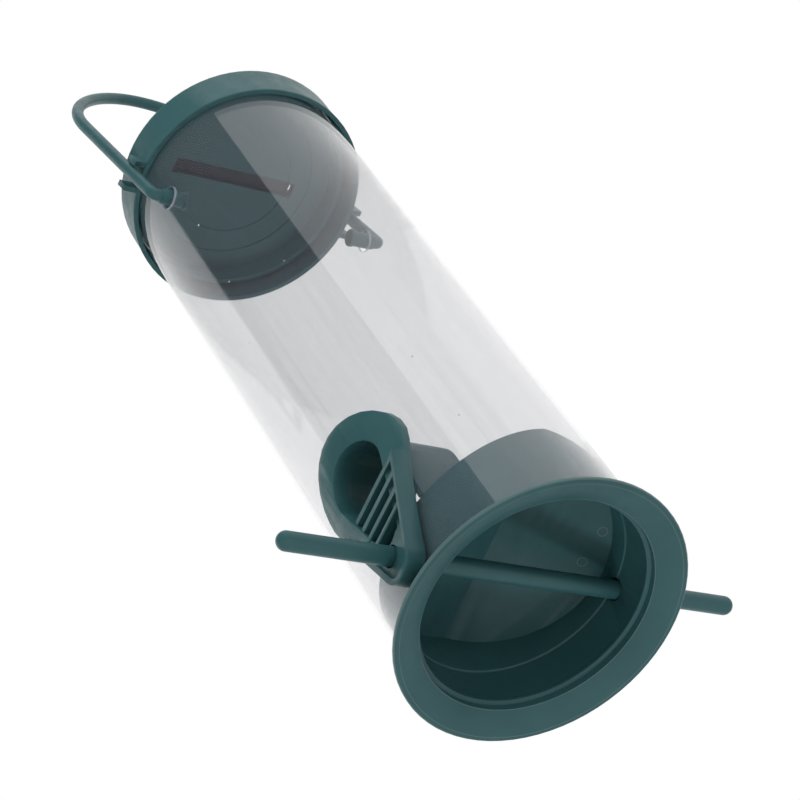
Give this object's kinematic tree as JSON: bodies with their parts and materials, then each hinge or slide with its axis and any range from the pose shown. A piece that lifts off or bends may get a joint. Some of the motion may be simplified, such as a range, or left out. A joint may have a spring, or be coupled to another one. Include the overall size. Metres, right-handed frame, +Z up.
{
  "type": "hanging bird feeder",
  "caption": "Tube bird feeder: clear round seed tube on a flanged base, hooded grille ports on opposite sides with a perch rod through both, and a cap that slides up a moulded bail.",
  "frame": {"origin": "centre of the base flange's rim, on the plane the feeder stands on", "axes": "+Z up the tube towards the bail, +X along the perch, +Y towards the side the bail leans to"},
  "size_m": [0.13, 0.0744, 0.2893],
  "materials": {
    "clear_plastic": "clear, polished, with fine scratches",
    "green_plastic": "satin, as moulded"
  },
  "bodies": {
    "housing": {"feed_tube": "clear_plastic", "base": "green_plastic", "port_right": "green_plastic", "port_left": "green_plastic"},
    "perch_rod": {"perch": "green_plastic"},
    "hanger": {"bail": "green_plastic"},
    "lid": {"cap": "green_plastic"}
  },
  "joints": [
    {"name": "bail_swing", "type": "hinge", "parent": "housing", "child": "hanger", "pos_m": [0, -0.0015, 0.1865], "axis": [1, 0, 0], "range_deg": [-0.8, 0.8]},
    {"name": "cap_lift", "type": "slide", "parent": "housing", "child": "lid", "axis": [0, 0, 1], "range_m": [0, 0.0112]},
    {"name": "perch_slide", "type": "slide", "parent": "housing", "child": "perch_rod", "axis": [-1, 0, 0], "range_m": [0, 0.098]}
  ]
}
